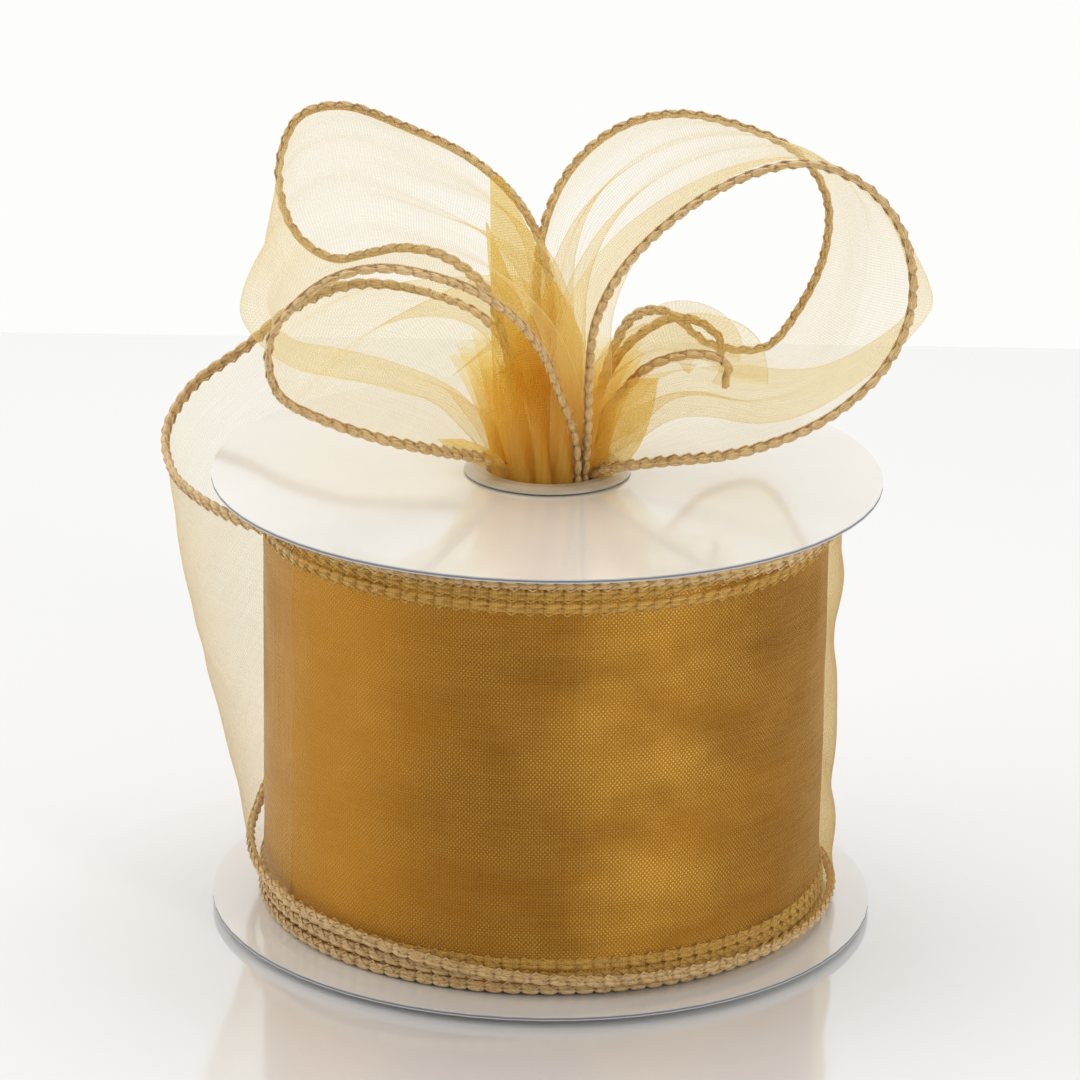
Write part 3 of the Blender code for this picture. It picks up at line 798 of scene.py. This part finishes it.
def make_roll(looks, segments=256, columns=64, rings=12):
    """The wound ribbon's side, with its two ends closed down to the core tube."""
    low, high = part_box("ribbon_roll")
    angle = np.linspace(0, 2 * np.pi, segments, endpoint=False)
    z = np.linspace(high[2] + 1.2 * MM, low[2] - 1.2 * MM, columns)
    random = np.random.default_rng(2)
    dents = blur(random.normal(0, 1, (segments, columns)), 5, 1)
    for _ in range(3):
        dents = (np.roll(dents, 2, 0) + dents + np.roll(dents, -2, 0)) / 3
    dents = 0.12 * MM * dents / dents.std()
    side = polar(ROLL_RADIUS - 0.35 * MM, angle, 0)[:, None] * np.ones((1, columns, 1))
    side = side + unit(side) * np.clip(dents, -0.3 * MM, 0.3 * MM)[..., None]
    side[..., 2] = z[None]
    top = np.stack([side[:, 0]] * rings, axis=1)
    radius = np.linalg.norm(top[..., :2], axis=-1)
    wanted = radius + (ROLL_BORE - radius) * np.linspace(0, 1, rings)[None]
    top[..., :2] *= (wanted / radius)[..., None]
    bottom = top.copy()
    bottom[..., 2] = z[-1]
    outline = np.concatenate([top[:, ::-1], side[:, 1:], bottom[:, 1:], top[:, -1:]], axis=1)
    shape = Shape()
    shape.grid(np.concatenate([outline, outline[:1]], axis=0),
               (2 * np.pi * ROLL_RADIUS, (outline.shape[1] - 1) * MM))
    obj = shape.build("ribbon_roll_wound", looks["wound"])
    weld(obj)
    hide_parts("ribbon_roll")
    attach(obj, "spool")


def weld(obj):
    """Joins the points where a closed grid meets itself."""
    shape = bmesh.new()
    shape.from_mesh(obj.data)
    bmesh.ops.remove_doubles(shape, verts=shape.verts, dist=1e-6)
    bmesh.ops.recalc_face_normals(shape, faces=shape.faces)
    shape.to_mesh(obj.data)
    shape.free()


def make_roll_edges(looks):
    """The stitched edges of the turns just under the outermost one, in rows."""
    for which, side_up, rows in (
        ("upper", -1, ((66.5, 42.3), (64.4, 43.0), (62.2, 42.9))),
        ("lower", 1, ((2.7, 43.0), (4.7, 43.0), (6.6, 42.9))),
    ):
        shape = Shape()
        for number, (height, radius) in enumerate(rows):
            edge_ring(shape, radius * MM, height * MM, 0.5 * number, side_up)
        obj = shape.build(f"roll_{which}_edge_stitching", looks["thread"])
        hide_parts(f"roll_{which}_wired_edge")
        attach(obj, "spool")


def edge_ring(shape, radius, height, start, side_up):
    """One turn's edge, closed on itself, with its sheer above it (side_up 1) or below it (-1)."""
    stitches = round(2 * math.pi * radius / STITCH_PITCH)
    count = stitches * ROWS_PER_STITCH + 1
    angle = np.linspace(0, 2 * np.pi, count) + start
    wander = 0.12 * MM * np.sin(3 * angle + 7 * start)
    line = polar(radius, angle, height) + np.stack([0 * angle, 0 * angle, wander], -1)
    out = unit(line * np.array([1, 1, 0]))
    side = np.tile([0.0, 0.0, float(side_up)], (count, 1))
    overlock(shape, line, side, out, np.linspace(0, stitches, count), capped=False)


def make_stem(looks, sides=260, rows=90):
    """The gathered ribbon in the core: deep uneven pleats that open out above the rim."""
    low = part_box("bow_stem")[0][2]
    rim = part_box("core_tube")[1][2]
    z = np.linspace(low, rim + STEM_FAN, rows)[:, None]
    angle = np.linspace(0, 2 * np.pi, sides, endpoint=False)[None]
    fan = np.clip((z - rim) / STEM_FAN, 0, 1)
    twist = 0.6 * (z - low) / (rim + STEM_FAN - low)
    a = angle + twist
    pleats = np.sin(13 * a) + 0.6 * np.sin(19 * a + 1.3) + 0.5 * np.sin(6 * a + 0.4)
    swell = (7.9 + 4.3 * fan ** 1.5) * MM
    radius = swell * (1 + (0.10 + 0.12 * fan) * pleats)
    radius = np.minimum(radius, (8.5 + 7.0 * fan) * MM)
    points = np.stack([radius * np.cos(angle), 0.9 * radius * np.sin(angle), z + 0 * radius], -1)
    shape = Shape()
    index = shape.grid(points, (float(z[-1, 0] - low), 60 * MM), around=True)
    shape.cap(index[0])
    obj = shape.build("bow_stem_gathers", looks["gathers"])
    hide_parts("bow_stem")
    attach(obj, "bow")
    return obj


def make_hub_folds(looks, rows=70, columns=40):
    """The crisp doubled folds between the stem and the loops."""
    shape = Shape()
    across = np.linspace(0, 2, columns)
    there = np.minimum(across, 2 - across)
    behind = np.clip(across - 1, 0, 1)
    for number, fold in enumerate(HUB_FOLDS_MM):
        left = smooth_line([(f[0], f[2], f[3]) for f in fold], rows)
        right = smooth_line([(f[1], f[2] + 0.8, f[3]) for f in fold], rows)
        width = np.linalg.norm(right - left, axis=1)[:, None]
        points = left[:, None] + (right - left)[:, None] * there[None, :, None]
        bow = np.sin(np.pi * there)[None] * 0.06 * width + behind * 0.10 * width
        ripple = 0.25 * MM * np.sin(np.linspace(0, 9, rows)[:, None] + 3 * across[None] + number)
        points[..., 1] += bow + ripple
        shape.grid(points, (length_of(left), 2 * float(width.max())))
    obj = shape.build("bow_stem_folds", looks["folds"])
    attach(obj, "bow")
    return obj


# ---------------------------------------------------------------- the scene round it


def make_camera():
    """The photograph's viewpoint, with its slight roll."""
    camera = bpy.data.objects.new("camera", bpy.data.cameras.new("camera"))
    bpy.context.scene.collection.objects.link(camera)
    camera.data.lens = CAMERA_LENS
    camera.data.sensor_width = 36
    camera.data.clip_start = 0.05
    back = Vector((0, -math.cos(CAMERA_ELEVATION), math.sin(CAMERA_ELEVATION)))
    right = Vector((1, 0, 0))
    up = back.cross(right)
    turned_right = right * math.cos(CAMERA_ROLL) + up * math.sin(CAMERA_ROLL)
    turned_up = up * math.cos(CAMERA_ROLL) - right * math.sin(CAMERA_ROLL)
    matrix = Matrix((turned_right, turned_up, back)).transposed().to_4x4()
    matrix.translation = CAMERA_TARGET + back * CAMERA_DISTANCE
    camera.matrix_world = matrix
    bpy.context.scene.camera = camera


def make_area_light(name, place, size, power, colour=(1, 1, 1)):
    light = bpy.data.lights.new(name, "AREA")
    light.shape = "RECTANGLE"
    light.size, light.size_y = size
    light.energy = power
    light.color = colour
    obj = bpy.data.objects.new(name, light)
    bpy.context.scene.collection.objects.link(obj)
    obj.visible_camera = False
    obj.location = place
    aim = Vector((0, 0, 0.06)) - Vector(place)
    obj.rotation_euler = aim.to_track_quat("-Z", "Y").to_euler()


def make_studio():
    """A pale surround that is darker in front, three soft lights and a glossy white floor."""
    world = bpy.data.worlds.new("studio")
    bpy.context.scene.world = world
    world.use_nodes = True
    tree = world.node_tree
    direction = tree.nodes.new("ShaderNodeTexCoord")
    split = tree.nodes.new("ShaderNodeSeparateXYZ")
    level = tree.nodes.new("ShaderNodeMapRange")
    tree.links.new(direction.outputs["Generated"], split.inputs[0])
    tree.links.new(split.outputs[1], level.inputs["Value"])
    for name, value in (("From Min", -0.6), ("From Max", 0.5), ("To Min", 0.30), ("To Max", 1.0)):
        level.inputs[name].default_value = value
    tree.links.new(level.outputs[0], tree.nodes["Background"].inputs["Strength"])
    tree.nodes["Background"].inputs["Color"].default_value = (0.985, 0.985, 0.975, 1)
    make_area_light("side_strip_right", (0.42, -0.50, 0.22), (0.10, 0.5), 1.25, (1.0, 0.97, 0.92))
    make_area_light("side_strip_left", (-0.60, -0.12, 0.25), (0.5, 0.7), 1.5, (1.0, 0.98, 0.94))
    make_area_light("top_softbox", (0.0, 0.25, 0.8), (0.8, 0.6), 2.3)
    shape = Shape()
    x = np.array([-1.2, 1.2])
    y = np.array([-1.1, FLOOR_FAR_EDGE])
    corners = np.stack(np.meshgrid(x, y, indexing="ij"), -1)
    top = np.concatenate([corners, np.full((2, 2, 1), -0.1 * MM)], -1)
    shape.grid(top, (2.4, 1.4))
    floor = shape.build("floor", floor_acrylic("floor_acrylic"))
    bpy.context.scene.view_settings.view_transform = "Standard"
    bpy.context.scene.cycles.transparent_max_bounces = SHEER_LAYERS


def finish_cad_nodes():
    """Finer materials for the pieces that keep their CAD shape."""
    for node, material in (
        ("top_flange", coated_board("coated_board_top")),
        ("bottom_flange", coated_board("coated_board_bottom")),
        ("core_tube", core_paper("core_paper_rolled")),
        ("starter_tape", clear_tape("starter_tape_clear")),
    ):
        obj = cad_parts[node]
        for slot in obj.material_slots:
            slot.material = material


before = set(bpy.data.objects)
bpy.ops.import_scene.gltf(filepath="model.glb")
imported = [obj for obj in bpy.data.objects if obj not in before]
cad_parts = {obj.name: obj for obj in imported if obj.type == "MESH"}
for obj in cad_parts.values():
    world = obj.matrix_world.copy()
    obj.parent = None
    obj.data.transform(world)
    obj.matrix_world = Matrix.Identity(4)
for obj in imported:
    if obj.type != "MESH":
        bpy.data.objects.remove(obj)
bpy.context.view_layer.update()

looks = {
    "sheer": organza("organza_sheer"),
    "turn": organza("organza_outer_turn", cover=0.2, colour=(0.84, 0.50, 0.08),
                    tint=(0.985, 0.94, 0.74), shine=0.15),
    "folds": organza("organza_doubled", cover=0.26, colour=(0.93, 0.67, 0.17), tint=(0.99, 0.94, 0.74)),
    "gathers": gathered_organza("organza_gathered"),
    "wound": wound_organza("organza_wound"),
    "thread": stitch_thread("overlock_thread"),
}
finish_cad_nodes()
make_roll(looks)
make_roll_edges(looks)
stem = make_stem(looks)
hub_folds = make_hub_folds(looks)

for make, body, held, rests_on in (
    (make_left_loop, "bow", "gathered", [stem]),
    (make_right_loop, "bow", "gathered", [stem]),
    (make_ribbon_end, "bow", "gathered", [stem]),
    (make_outer_turn, "free_ribbon", "laid", ["ribbon_roll_wound"]),
    (make_free_run, None, "gathered", ["ribbon_roll_wound", stem]),
):
    piece, edges, length = make(looks)
    for part in [piece, *edges]:
        if body:
            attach(part, body)
        else:
            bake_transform(part)

make_studio()
make_camera()
